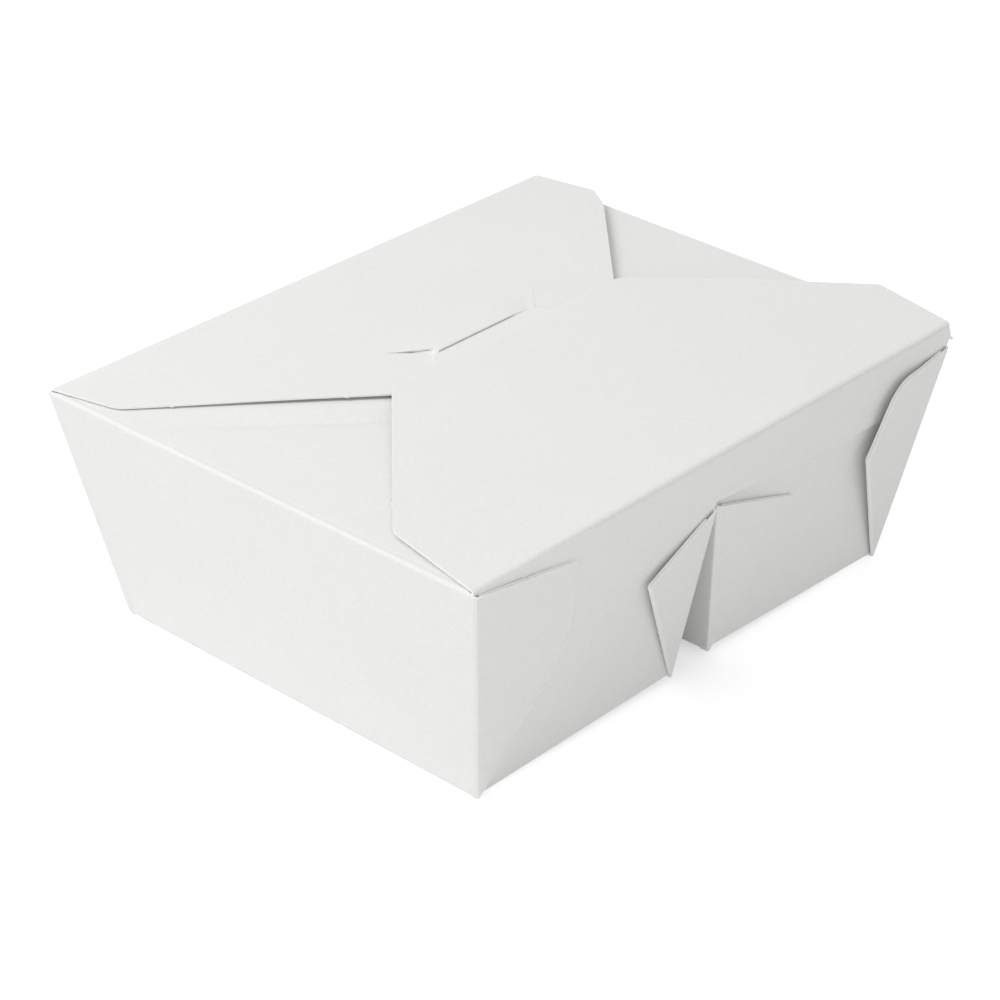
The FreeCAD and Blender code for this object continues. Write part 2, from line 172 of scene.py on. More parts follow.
gloss = math_node(paper, "MULTIPLY", clump, ROUGHNESS_SPREAD)
paper.links.new(math_node(paper, "ADD", gloss, LOWEST_ROUGHNESS), paper_out.inputs["Roughness"])
print("paper surface group:", len(paper.nodes), "nodes")

# %% [markdown]
# ## Three finishes of one board
# The sheet is smoothest and whitest outside, a little rougher and duller inside, and raw where the die has
# cut it, where loose fibres catch the light. The cut finish is lighter, partly for the raw board and partly
# as a painted highlight, which it also lays on narrow bands along free edges, creases and the slit's lip.
# Three materials share the group with their own values.

# %% Three finishes
SPECULAR_LEVEL = 0.3
# Colour, then the strength of fibres, wire lines and tone, and the depth of the relief
FINISH_VALUES = {
    "board_outer_face": ((0.89, 0.888, 0.88), 0.5, 0.1, 0.03, 0.07 * MM),
    "board_inner_face": ((0.87, 0.866, 0.855), 0.7, 0.15, 0.04, 0.09 * MM),
    # the cut finish is lighter than the faces: partly raw cut board, partly painted highlight
    "board_cut_edge_and_highlight": ((0.955, 0.95, 0.94), 1.0, 0.1, 0.06, 0.06 * MM),
}


def board_material(name, colour, fibre, wire_depth, tone_depth, bump_distance):
    """A finish of the board: the shared paper surface with its own colour and strengths."""
    material = bpy.data.materials.new(name)
    material.use_nodes = True
    tree = material.node_tree
    surface = tree.nodes["Principled BSDF"]
    surface.inputs["Specular IOR Level"].default_value = SPECULAR_LEVEL
    group = tree.nodes.new("ShaderNodeGroup")
    group.node_tree = paper
    group.inputs["Fibre"].default_value = fibre
    group.inputs["Wire"].default_value = wire_depth
    group.inputs["Tone"].default_value = tone_depth
    tint = tree.nodes.new("ShaderNodeMix")
    tint.data_type = "RGBA"
    tint.blend_type = "MULTIPLY"
    tint.inputs["Factor"].default_value = 1
    tint.inputs["A"].default_value = (*colour, 1)
    tree.links.new(group.outputs["Shade"], tint.inputs["B"])
    tree.links.new(tint.outputs["Result"], surface.inputs["Base Color"])
    tree.links.new(group.outputs["Roughness"], surface.inputs["Roughness"])
    bump = tree.nodes.new("ShaderNodeBump")
    bump.inputs["Distance"].default_value = bump_distance
    tree.links.new(group.outputs["Height"], bump.inputs["Height"])
    tree.links.new(bump.outputs["Normal"], surface.inputs["Normal"])
    return material


FINISHES = [board_material(name, *values) for name, values in FINISH_VALUES.items()]
print("finishes:", [m.name for m in FINISHES])

# %% [markdown]
# ## Cutting a sheet
# Every panel starts flat, as it leaves the die: one face from its outline, with rounded corners from a
# vertex bevel. A narrow band along its edges takes the lighter cut finish, a painted highlight. It is then
# scored into a fine grid with bisect_plane, so that it can bow and crease later. Its outer face looks up the
# local Z axis.

# %% Cutting a sheet
# widths of the painted highlight bands: beside the free edges and along the creases
EDGE_HIGHLIGHT_WIDTH = 0.22 * MM
CREASE_HIGHLIGHT_WIDTH = 0.2 * MM
NICK_LENGTH = 0.6 * MM
NICK_DEPTH = 0.35 * MM
NICK_CROWN = (0.3, 0.7)
CUT_TOLERANCE = 0.001 * MM
MERGE_DISTANCE = 0.01 * MM
CORNER_SEGMENTS = 6
ARC_ROWS = 3
ARC_STEP = FOLD_RADIUS / 4
# the cut finish serves the real cut edges and the painted highlight bands on the faces
OUTER_FINISH, INNER_FINISH, CUT_EDGE_AND_HIGHLIGHT = range(3)


def everything(bm):
    """All the geometry of a sheet."""
    return bm.verts[:] + bm.edges[:] + bm.faces[:]


def of_kind(geometry, kind):
    """The elements of one kind, such as the faces, in what an operator returns."""
    return [g for g in geometry if isinstance(g, kind)]


def score(bm, axis, position):
    """Cuts across the whole sheet at one position of its x (axis 0) or y (axis 1)."""
    point = Vector((0, 0, 0))
    point[axis] = position
    normal = Vector((0, 0, 0))
    normal[axis] = 1
    bmesh.ops.bisect_plane(
        bm, geom=everything(bm), dist=CUT_TOLERANCE, plane_co=point, plane_no=normal
    )


def score_rows(bm, axis, middle_row, rows, pitch):
    """Scores some rows on both sides of a line and one on it."""
    for step in range(-rows, rows + 1):
        score(bm, axis, middle_row + step * pitch)


def face_way(bm, way):
    """Turns the whole sheet so that most of its board faces one way."""
    bmesh.ops.recalc_face_normals(bm, faces=bm.faces)
    bm.normal_update()
    if sum(f.normal.dot(way) * f.calc_area() for f in bm.faces) < 0:
        bmesh.ops.reverse_faces(bm, faces=bm.faces)
        bm.normal_update()


def nicked(corners, index, share):
    """Adds the little tag that the die leaves on an edge, part way from one corner to the next."""
    start, end = Vector(corners[index][:2]), Vector(corners[(index + 1) % len(corners)][:2])
    way = (end - start).normalized()
    outward = Vector((way.y, -way.x)) * NICK_DEPTH
    middle_point = start.lerp(end, share)
    base = [middle_point - way * NICK_LENGTH, middle_point + way * NICK_LENGTH]
    crown = [point + outward for point in base]
    top = [crown[0].lerp(crown[1], share) for share in NICK_CROWN]
    added = [(*point, 0) for point in (base[0], *top, base[1])]
    return corners[: index + 1] + added + corners[index + 1:]


def cut_sheet(corners, pitch, creases=()):
    """A flat sheet from (x, y, radius) corners, scored every pitch and finely beside the creases at y."""
    bm = bmesh.new()
    verts = [bm.verts.new((x, y, 0)) for x, y, _ in corners]
    bm.faces.new(verts)
    bm.normal_update()
    for i, (x, y, radius) in enumerate(corners):
        if radius:
            before = Vector(corners[i - 1][:2]) - Vector((x, y))
            after = Vector(corners[(i + 1) % len(corners)][:2]) - Vector((x, y))
            setback = radius / math.tan(before.angle(after) / 2)
            bmesh.ops.bevel(
                bm,
                geom=[verts[i]],
                affect="VERTICES",
                offset=setback,
                segments=CORNER_SEGMENTS,
                profile=0.5,
                material=-1,
            )
    # a band beside every free edge takes the cut finish: a painted highlight on the face
    edge_highlight = bmesh.ops.inset_region(bm, faces=bm.faces[:], thickness=EDGE_HIGHLIGHT_WIDTH, use_boundary=True)["faces"]
    for face in edge_highlight:
        face.material_index = CUT_EDGE_AND_HIGHLIGHT
    bmesh.ops.triangulate(bm, faces=bm.faces)
    for axis in (0, 1):
        low = min(v.co[axis] for v in bm.verts)
        high = max(v.co[axis] for v in bm.verts)
        for step in range(1, math.ceil((high - low) / pitch)):
            score(bm, axis, low + step * pitch)
    for crease in creases:
        score_rows(bm, 1, crease, ARC_ROWS, ARC_STEP)
    face_way(bm, UP)
    return bm


def finish_where(bm, finish, test):
    """Gives one finish to the faces that a test picks by their x and y."""
    for face in bm.faces:
        middle_point = face.calc_center_median()
        if test(middle_point.x, middle_point.y):
            face.material_index = finish


# %% [markdown]
# ## Folding a sheet
# A crease in board is a small arc, not a sharp line. The helper takes the flat sheet, keeps the part
# before the crease in one plane, rolls the board round an arc, and lets the rest run on in the other plane.
# The sheet's own height, its bows and wrinkles, is carried along the folded surface's normal.

# %% Folding a sheet
PRESSED_EDGE = 0.02 * MM
EDGE_ANGLE = math.radians(60)
SHARP_ANGLE = math.radians(35)


def rolled(distance, back, on, radius):
    """The place and the heading of a point at some distance past a crease."""
    forward = -back
    turn = forward.angle(on)
    tangent = radius * math.tan(turn / 2)
    half_arc = radius * turn / 2
    if distance <= -half_arc:
        return back * (tangent - distance - half_arc), forward
    if distance >= half_arc:
        return on * (tangent + distance - half_arc), on
    inward = (on - forward * math.cos(turn)).normalized()
    angle = (distance + half_arc) / radius
    centre = back * tangent + inward * radius
    heading = forward * math.cos(angle) + inward * math.sin(angle)
    return centre + forward * radius * math.sin(angle) - inward * radius * math.cos(angle), heading


def fold(bm, start, along, back, on, outward, radius=FOLD_RADIUS):
    """Puts a flat sheet in place: x runs along the crease from its start, y is the distance past it."""
    side = 1 if along.cross(on).dot(outward) > 0 else -1
    for vert in bm.verts:
        place, heading = rolled(vert.co.y, back, on, radius)
        vert.co = start + along * vert.co.x + place + along.cross(heading) * side * vert.co.z
    if side < 0:
        bmesh.ops.reverse_faces(bm, faces=bm.faces)
    bm.normal_update()


def along_line(start, end, width):
    """A smooth ridge between two points of a flat sheet: 1 on its middle, 0 at its ends and sides."""
    start, end = Vector(start), Vector(end)
    way = (end - start).normalized()

    def share(x, y):
        rel = Vector((x, y)) - start
        run = rel.dot(way) / (end - start).length
        off = (rel - way * rel.dot(way)).length / width
        return math.sin(math.pi * min(max(run, 0), 1)) ** 2 * math.exp(-off * off)

    return share


def shape_sheet(bm, height):
    """Raises a flat sheet by a height that depends on its x and y."""
    for vert in bm.verts:
        vert.co.z += height(vert.co.x, vert.co.y)


def strip_length(turn, radius=FOLD_RADIUS):
    """The flat length of board from a crease to the butt joint that lies STRIP below it."""
    return STRIP - radius * (math.tan(turn / 2) - turn / 2)


def above_floor(bm):
    """Trims away what a tilted sheet would put under the floor."""
    bmesh.ops.bisect_plane(
        bm, geom=everything(bm), plane_co=(0, 0, 0), plane_no=-UP, clear_outer=True
    )


def mirrored(bm):
    """Adds the same sheets at the carton's other end, across the XZ plane."""
    copy = bmesh.ops.duplicate(bm, geom=everything(bm))["geom"]
    bmesh.ops.scale(bm, vec=(1, -1, 1), verts=of_kind(copy, bmesh.types.BMVert))
    bmesh.ops.reverse_faces(bm, faces=of_kind(copy, bmesh.types.BMFace))


def to_back(vector):
    """The same place or direction at the carton's other end."""
    return Vector((vector.x, -vector.y, vector.z))


def board_piece(name, sheets, node):
    """Gives the sheets their thickness and crisp cut edges, and makes them one finished mesh."""
    mesh = bpy.data.meshes.new(name)
    joined = bmesh.new()
    for bm in sheets:
        bm.to_mesh(mesh)
        joined.from_mesh(mesh)
        bm.free()
    joined.to_mesh(mesh)
    joined.free()
    for finish in FINISHES:
        mesh.materials.append(finish)
    piece = bpy.data.objects.new(name, mesh)
    bpy.context.scene.collection.objects.link(piece)
    thickness = piece.modifiers.new("board", "SOLIDIFY")
    thickness.thickness = BOARD
    thickness.offset = -1
    thickness.material_offset = INNER_FINISH
    thickness.material_offset_rim = CUT_EDGE_AND_HIGHLIGHT
    edge = piece.modifiers.new("pressed_edge", "BEVEL")
    edge.width = PRESSED_EDGE
    edge.segments = 1
    edge.limit_method = "ANGLE"
    edge.angle_limit = EDGE_ANGLE
    graph = bpy.context.evaluated_depsgraph_get()
    finished = bpy.data.meshes.new_from_object(piece.evaluated_get(graph))
    piece.modifiers.clear()
    piece.data = finished
    finished.name = name
    finished.shade_smooth()
    finished.set_sharp_from_angle(angle=SHARP_ANGLE)
    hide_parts(node)
    if node == "tray":
        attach(piece, "tray")
    print(name, len(finished.polygons), "faces")
    return piece


# %% [markdown]
# ## Directions on the carton
# A leaning end wall has its own directions: along the crease, up the slope and out of the wall. The same
# goes for a corner edge, where both walls lean. They are worked out once from the sizes.

# %% Directions on the carton
left_along = LEFT.to_3x3() @ ALONG
left_up = LEFT.to_3x3() @ UP
right_along = RIGHT.to_3x3() @ ALONG
right_up = RIGHT.to_3x3() @ UP
END_ANGLE = math.atan(END_LEAN)
LID_HEIGHT = WALL_HEIGHT + LAYER_GAP + BOARD
END_SLANT = LID_HEIGHT / math.cos(END_ANGLE)
WEB_STACK = 2 * BOARD + PLY_GAP
LEFT_WEB_INSET = PANEL_INSET - WEB_STACK
RIGHT_WEB_INSET = NESTING - WEB_STACK
SIDE_SLANT = math.hypot(WALL_HEIGHT, SIDE_FLARE)


def end_up(up):
    """The way up the front end wall's slope in a compartment with this upright."""
    return (up * math.cos(END_ANGLE) + FRONT * math.sin(END_ANGLE)).normalized()


def end_out(up):
    """The way straight out of the front end wall."""
    return (FRONT * math.cos(END_ANGLE) - up * math.sin(END_ANGLE)).normalized()


def on_end(frame_matrix, u, w, inset=0.0):
    """A point on the outer face of the front end wall, some way in from it."""
    depth = BASE_HALF_WIDTH + END_LEAN * w - inset / math.cos(END_ANGLE)
    return frame_matrix @ Vector((u, -depth, w))


print("end wall slant", round(END_SLANT / MM, 2), "mm, side wall slant", round(SIDE_SLANT / MM, 2), "mm")

# %% [markdown]
# ## Floors, side walls and divider
# On the real carton these are one strip of the sheet, creased across. It could be bent from a plane, but
# a line that follows the creases, drawn out across the carton and bevelled at each crease, gives the small
# rounded folds at once. Two bisects then trim it to the leaning end walls.

# %% Floors, side walls and divider
DIVIDER_TOP = 50 * MM
DIVIDER_SHIFT = -2 * MM
RIDGE_HALF = 0.4 * MM
LEFT_FLOOR = 69.1 * MM
RIGHT_FLOOR = 68.7 * MM
BACK_RISE = 2.5 * MM
CREASE_SIDE = 2 * MM
CREASE_SEGMENTS = 4
STRIP_PITCH = 6 * MM
ridge = Vector((middle + DIVIDER_SHIFT, 0, DIVIDER_TOP))
ridge_step = Vector((RIDGE_HALF, 0, 0))
wall_way = Vector((-SIDE_FLARE, 0, WALL_HEIGHT)).normalized()


def creased_strip(line):
    """A strip across the carton along an XZ line, with its outer face away from the food."""
    bm = bmesh.new()
    last = bm.verts.new(line[0])
    for point in line[1:]:
        moved = bmesh.ops.extrude_vert_indiv(bm, verts=[last])["verts"][0]
        moved.co = point
        last = moved
    bmesh.ops.translate(bm, vec=(0, -RIM_HALF_WIDTH, 0), verts=bm.verts)
    drawn = bmesh.ops.extrude_edge_only(bm, edges=bm.edges[:])["geom"]
    bmesh.ops.translate(bm, vec=(0, 2 * RIM_HALF_WIDTH, 0), verts=of_kind(drawn, bmesh.types.BMVert))
    creases = [e for e in bm.edges if not e.is_boundary]
    bmesh.ops.bevel(
        bm,
        geom=creases,
        affect="EDGES",
        offset=FOLD_RADIUS,
        segments=CREASE_SEGMENTS,
        profile=0.5,
        material=-1,
    )
    return bm


def trim_ends(bm, up, inset):
    """Trims a strip to both leaning end walls, which start from its compartment's outer corners."""
    foot = (LEFT if up is left_up else RIGHT).translation
    for sign in (-1, 1):
        normal = end_out(up)
        normal.y *= -sign
        point = foot + Vector((0, sign * (BASE_HALF_WIDTH - inset / math.cos(END_ANGLE)), 0))
        bmesh.ops.bisect_plane(
            bm, geom=everything(bm), plane_co=point, plane_no=normal, clear_outer=True
        )


left_foot = LEFT @ Vector((LEFT_FLOOR, 0, 0))
right_foot = RIGHT @ Vector((RIGHT_FLOOR, 0, 0))
left_crown = ridge - ridge_step
right_crown = ridge + ridge_step


def part_way(start, end, distance):
    """A point some distance from start towards end."""
    return start + (end - start).normalized() * distance


left_corner = LEFT.translation.copy()
right_corner_foot = RIGHT.translation.copy()
left_wall_foot = LEFT @ (wall_way * CREASE_SIDE)
right_wall_foot = RIGHT @ (wall_way * CREASE_SIDE)
left_leg_foot = part_way(left_foot, left_crown, CREASE_SIDE)
right_leg_foot = part_way(right_foot, right_crown, CREASE_SIDE)
left_wall_top = LEFT @ (wall_way * (SIDE_SLANT - STRIP))
right_wall_top = RIGHT @ (wall_way * (SIDE_SLANT - STRIP))
# Line across the carton, the upright of its compartment, inset from the end walls and way that it faces
STRIPS = [
    ([left_wall_top, left_wall_foot], left_up, LEFT_WEB_INSET, -ALONG),
    ([left_wall_foot, left_corner, left_foot, left_leg_foot], left_up, PANEL_INSET, -UP),
    ([left_leg_foot, left_crown, ridge], left_up, LEFT_WEB_INSET, ALONG),
    ([ridge, right_crown, right_leg_foot], right_up, RIGHT_WEB_INSET, -ALONG),
    ([right_leg_foot, right_foot, right_corner_foot, right_wall_foot], right_up, NESTING, -UP),
    ([right_wall_foot, right_wall_top], right_up, 0, ALONG),
]


def raise_back(bm):
    """Lifts the right rim towards the back corner, where the slotted flap's board holds it up."""
    for vert in bm.verts:
        back_share = (vert.co.y + RIM_HALF_WIDTH) / (2 * RIM_HALF_WIDTH)
        height_share = min(max(vert.co.z / WALL_HEIGHT, 0), 1)
        vert.co.z += BACK_RISE * min(max(back_share, 0), 1) * height_share


strips = []
for line, up, inset, way in STRIPS:
    strip = creased_strip(line)
    trim_ends(strip, up, inset + STRIP)
    score_rows(strip, 1, 0, math.ceil(RIM_HALF_WIDTH / STRIP_PITCH), STRIP_PITCH)
    face_way(strip, way)
    strips.append(strip)
raise_back(strips[-1])
board_piece("floors_walls_divider", strips, "tray")

# %% [markdown]
# ## End panels and the glue band
# The left compartment's end panels run on past the notch as a band that is glued over the right
# compartment's panels, which sit one board width further in. Each panel is a flat outline on the sloping
# wall, in u along the floor and in the distance up the slope.

# %% End panels
BAND_INNER_DEPTH = 14.4 * MM
BAND_OUTER_DEPTH = 18 * MM
PANEL_LAP = 6 * MM
PANEL_PITCH = 2 * MM
SIDE_GAP = 0.6 * MM
RIGHT_PANEL_INSET = NESTING + 0.25 * MM
PLAIN_FOOT = 1 * MM
PLAIN_TOP = 0.5 * MM
# Start, end and half width of a soft ridge or dent on a panel, in (u, distance up the slope), and its height
WEB_SHADOW = ((-14 * MM, 66 * MM), (26 * MM, 59.5 * MM), 3 * MM)
WEB_SHADOW_DEPTH = 0.3 * MM
BAND_SHADOW = ((84 * MM, 53 * MM), (46 * MM, 40 * MM), 2.6 * MM)
BAND_SHADOW_DEPTH = 0.9 * MM
BAND_LIFT_WIDTH = 2.4 * MM
BAND_LIFT_HEIGHT = 0.3 * MM


def slope_point(frame_matrix, point):
    """A world point of the end wall as (u, distance up the slope)."""
    local = frame_matrix.inverted() @ Vector(point)
    return local.x, local.z / math.cos(END_ANGLE)


band_start = ridge + ridge_step
band_start.z = (WALL_HEIGHT - BAND_INNER_DEPTH) / math.cos(TILT)
band_start.z += (band_start.x - LEFT.translation.x) * math.tan(TILT)
band_level = WALL_HEIGHT - BAND_OUTER_DEPTH
band_end = RIGHT @ Vector((-SIDE_LEAN * band_level, 0, band_level))
right_corner = RIGHT @ Vector((-SIDE_FLARE, 0, WALL_HEIGHT))
floor_strip = strip_length(math.pi / 2 - END_ANGLE)
panel_top = END_SLANT - STRIP
left_panel_line = [
    (SIDE_GAP - SIDE_FLARE, panel_top),
    (SIDE_GAP, FOLD_RADIUS),
    (0, 0),
    (0, -floor_strip),
    (LEFT_FLOOR, -floor_strip),
    (LEFT_FLOOR, 0),
    (LEFT_FLOOR - SIDE_GAP, FOLD_RADIUS),
    slope_point(LEFT, left_crown - SIDE_GAP * ALONG),
    slope_point(LEFT, band_start),
    slope_point(LEFT, band_end),
    slope_point(LEFT, right_corner),
    (RIM_LENGTH - SIDE_FLARE, panel_top),
]
lap_top = WALL_HEIGHT - PANEL_LAP / 2
right_panel_line = [
    (SIDE_GAP - SIDE_LEAN * lap_top, lap_top / math.cos(END_ANGLE)),
    (SIDE_GAP, FOLD_RADIUS),
    (0, 0),
    (0, -floor_strip),
    (RIGHT_FLOOR, -floor_strip),
    (RIGHT_FLOOR, 0),
    (RIGHT_FLOOR - SIDE_GAP, FOLD_RADIUS),
    slope_point(RIGHT, right_crown + SIDE_GAP * ALONG),
    slope_point(RIGHT, right_crown + SIDE_GAP * ALONG + UP * PANEL_LAP),
]


def end_panel(outline, frame_matrix, up, along, inset, dent):
    """A panel folded up from the floor at the front, and its copy at the back."""
    bm = cut_sheet([(x, y, 0) for x, y in outline], PANEL_PITCH, creases=(0,))
    # the painted edge highlight is taken off the foot and the top, where the panel butts onto other board
    finish_where(bm, OUTER_FINISH, lambda x, y: y < PLAIN_FOOT or y > panel_top - PLAIN_TOP)
    shape_sheet(bm, dent)
    fold(bm, on_end(frame_matrix, 0, 0, inset), along, -FRONT, end_up(up), end_out(up))
    mirrored(bm)
    return bm


web_shadow = along_line(*WEB_SHADOW)
band_shadow = along_line(*BAND_SHADOW)
band_lift = along_line(slope_point(LEFT, band_start), slope_point(LEFT, band_end), BAND_LIFT_WIDTH)
left_panels = end_panel(
    left_panel_line,
    LEFT,
    left_up,
    left_along,
    PANEL_INSET,
    lambda x, y: BAND_LIFT_HEIGHT * band_lift(x, y) - WEB_SHADOW_DEPTH * web_shadow(x, y),
)
right_panels = end_panel(
    right_panel_line,
    RIGHT,
    right_up,
    right_along,
    RIGHT_PANEL_INSET,
    lambda x, y: -BAND_SHADOW_DEPTH * band_shadow(x, y),
)
board_piece("end_panels", [left_panels, right_panels], "tray")

# %% [markdown]
# ## Corner webs
# Where a side wall meets an end wall, the sheet's corner is folded on the diagonal into a two-ply web and
# lies outside the end wall. The outer ply turns round the corner edge from the side wall. Its twin under
# it is joined to it only along the diagonal fold, so the two cut edges show above it.

# %% Corner webs
WEB_TOP = 62.9 * MM
WEB_REACH = 23 * MM
WEB_INNER_TOP = 56.8 * MM
WEB_FOLD_REACH = 24.2 * MM
WEB_FOLD_HEIGHT = 34.4 * MM
WEB_PITCH = 2.5 * MM
WEB_NICK = 0.52
TWIN_START = 1.5 * MM
PROUD_ANGLE = math.radians(6.2)
# Reach and rise from the foot of the corner edge, and the corner's radius where it has one
PROUD_OUTLINE = [
    (0, 0),
    (0, 62 * MM),
    (12 * MM, 58.5 * MM),
    (22.5 * MM, 56.5 * MM, 8 * MM),
    (26.3 * MM, 36 * MM),
]
HALF_ROUND_STEPS = 5
WRINKLE_DEPTH = 0.34 * MM
WRINKLE_PITCH = 1.7 * MM
WRINKLE_SLANT = 0.45
WRINKLED_SHEET_PITCH = 0.6 * MM
GLUE_REACH = 3.6 * MM
GLUE_START = 4 * MM
GLUE_PATCH = 5 * MM
GLUE_CONTRAST = 1.5


def two_ply(corners, fold_ends, pitch, keep_from):
    """A web of two plies: the outer sheet, a half-round along the diagonal fold and the sheet under it."""
    bm = cut_sheet(corners, pitch)
    under = bmesh.ops.duplicate(bm, geom=everything(bm))["geom"]
    under_verts = of_kind(under, bmesh.types.BMVert)
    under_faces = of_kind(under, bmesh.types.BMFace)
    start, end = (Vector((*p, 0)) for p in fold_ends)
    axis = (end - start).normalized()

    def on_fold(edge):
        return all((v.co - start).cross(axis).length < MERGE_DISTANCE for v in edge.verts)

    edges = [e for e in bm.edges if e.is_boundary and on_fold(e) and e.verts[0] not in under_verts]
    inner = sum((f.calc_center_median() for f in under_faces), Vector()) / len(under_faces)
    side = 1 if axis.cross(inner - start).z > 0 else -1
    depth = BOARD + PLY_GAP / 2
    bmesh.ops.spin(
        bm,
        geom=edges + list({v for e in edges for v in e.verts}),
        cent=start - UP * depth,
        axis=axis * side,
        angle=math.pi,
        steps=HALF_ROUND_STEPS,
        use_merge=False,
        use_duplicate=False,
    )
    bmesh.ops.translate(bm, vec=(0, 0, -2 * depth), verts=under_verts)
    bmesh.ops.reverse_faces(bm, faces=under_faces)
    hidden = [v for v in under_verts if v.co.x < keep_from]
    bmesh.ops.delete(bm, geom=hidden, context="VERTS")
    bmesh.ops.remove_doubles(bm, verts=bm.verts, dist=MERGE_DISTANCE)
    return bm


def corner_directions(frame_matrix, inset):
    """The foot of the front corner edge, the way up it, and the ways along both walls from it."""
    foot = on_end(frame_matrix, 0, 0, inset)
    rise = (on_end(frame_matrix, -SIDE_FLARE, WALL_HEIGHT, inset) - foot).normalized()
    inward = frame_matrix.to_3x3() @ ALONG
    reach = (inward - rise * inward.dot(rise)).normalized()
    sideways = (-FRONT - rise * (-FRONT).dot(rise)).normalized()
    return foot, rise, reach, sideways


def glue_wrinkles(outline):
    """Fine slanting wrinkles where the glue has pulled the outer ply, beside its free edges."""
    edges = [(Vector(a), Vector(b)) for a, b in zip(outline[2:], outline[3:] + outline[:1])]

    def height(x, y):
        point = Vector((x, y))
        off = []
        for start, end in edges:
            share = min(max((point - start).dot(end - start) / (end - start).length_squared, 0), 1)
            off.append((point - start.lerp(end, share)).length)
        near = math.exp(-((min(off) / GLUE_REACH) ** 2)) * min(max(x / GLUE_START, 0), 1)
        spread = GLUE_CONTRAST * noise.noise(Vector((x, y, 0)) / GLUE_PATCH)
        patch = min(max(NOISE_MEAN + spread, 0), 1)
        wave = abs(math.sin(math.pi * (y - WRINKLE_SLANT * x) / WRINKLE_PITCH))
        return WRINKLE_DEPTH * near * patch * wave

    return height


def stand_web(outline, start, rise, sideways, on, outward, wrinkled=False):
    """Folds a two-ply web round an upright edge, and adds its copy at the back."""
    strip = strip_length(math.pi - sideways.angle(on))
    top = outline[1][1]
    heel = -strip - WEB_STACK
    side = [outline[0], (heel, 0), (heel, CREASE_SIDE), (-strip, CREASE_SIDE), (-strip, top)]
    corners = [(*point, 0)[:3] for point in side + outline[1:]]
    pitch = WEB_PITCH
    if wrinkled:
        corners = nicked(corners, len(side), WEB_NICK)
        pitch = WRINKLED_SHEET_PITCH
    bm = two_ply(corners, (outline[0], outline[-1]), pitch, TWIN_START)
    if wrinkled:
        shape_sheet(bm, glue_wrinkles(outline))
    score_rows(bm, 0, 0, ARC_ROWS, ARC_STEP)
    # painted highlight: the corner crease takes the cut finish, and the strip below it keeps the outer face
    # except along its top edge
    finish_where(bm, OUTER_FINISH, lambda x, y: x < CREASE_HIGHLIGHT_WIDTH and y < top - EDGE_HIGHLIGHT_WIDTH)
    finish_where(bm, CUT_EDGE_AND_HIGHLIGHT, lambda x, y: abs(x) < CREASE_HIGHLIGHT_WIDTH)
    for vert in bm.verts:
        vert.co = Vector((vert.co.y, vert.co.x, vert.co.z))
    bmesh.ops.reverse_faces(bm, faces=bm.faces)
    fold(bm, start, rise, sideways, on, outward)
    above_floor(bm)
    mirrored(bm)
    return bm


def corner_web(frame_matrix, outline, swing, up, inset):
    """A two-ply web at the front corners of a compartment, swung out of the wall by an angle."""
    foot, rise, reach, sideways = corner_directions(frame_matrix, inset)
    turn = Matrix.Rotation(swing, 3, reach.cross(end_out(up)))
    flat = swing == 0
    return stand_web(outline, foot, rise, sideways, turn @ reach, turn @ end_out(up), wrinkled=flat)


def as_corner(frame_matrix, u, w):
    """A point of the end wall as (reach, rise) from the corner edge."""
    foot, rise, reach, _ = corner_directions(frame_matrix, 0)
    rel = on_end(frame_matrix, u, w) - foot
    return rel.dot(reach), rel.dot(rise)


left_web_outline = [
    (0, 0),
    (0, as_corner(LEFT, -SIDE_LEAN * WEB_TOP, WEB_TOP)[1]),
    as_corner(LEFT, WEB_REACH, WEB_INNER_TOP),
    as_corner(LEFT, WEB_FOLD_REACH, WEB_FOLD_HEIGHT),
]
flat_webs = corner_web(LEFT, left_web_outline, 0, left_up, LEFT_WEB_INSET)
proud_webs = corner_web(RIGHT, PROUD_OUTLINE, PROUD_ANGLE, right_up, 0)
board_piece("corner_webs", [flat_webs, proud_webs], "tray")

# %% [markdown]
# ## Webs beside the notch
# The divider's two sides are joined to the end panels by the same kind of web. The left one has sprung
# away from the wall, which leaves a dark gap behind it, and the right one is glued flush.

# %% Webs beside the notch
LEFT_TIP = (18 * MM, 37 * MM)
RIGHT_TIP = (22 * MM, 37.7 * MM)
WEB_END_DROP = 1.2 * MM
SPRUNG_ANGLE = math.radians(4.2)


def notch_web(frame_matrix, floor_end, tip, crown_point, up, inset, swing):
    """A two-ply web on the divider's side of a front end panel, and its copy at the back."""
    foot = on_end(frame_matrix, floor_end, 0, inset)
    crown_local = frame_matrix.inverted() @ crown_point
    crown = on_end(frame_matrix, crown_local.x, crown_local.z, inset)
    rise = (crown - foot).normalized()
    rel = on_end(frame_matrix, floor_end - tip[0], tip[1], inset) - foot
    reach = (rel - rise * rel.dot(rise)).normalized()
    height = (crown - foot).length - WEB_END_DROP
    outline = [(0, 0), (0, height), (rel.dot(reach), rel.dot(rise))]
    turn = Matrix.Rotation(swing, 3, reach.cross(end_out(up)))
    inward = (-FRONT - rise * (-FRONT).dot(rise)).normalized()
    return stand_web(outline, foot, rise, inward, turn @ reach, turn @ end_out(up))


left_notch = notch_web(LEFT, LEFT_FLOOR, LEFT_TIP, left_crown, left_up, LEFT_WEB_INSET, SPRUNG_ANGLE)
right_notch = notch_web(RIGHT, RIGHT_FLOOR, RIGHT_TIP, right_crown, right_up, RIGHT_WEB_INSET, 0)
board_piece("notch_webs", [left_notch, right_notch], "tray")

# %% [markdown]
# ## Dust flaps
# A short flap folds in from each side wall's rim and closes the corners against dust. It is cut as a
# trapezium with two rounded corners, with the last few millimetres of the wall on the other side of its
# crease, so the fold at the rim is one rolled piece of board.

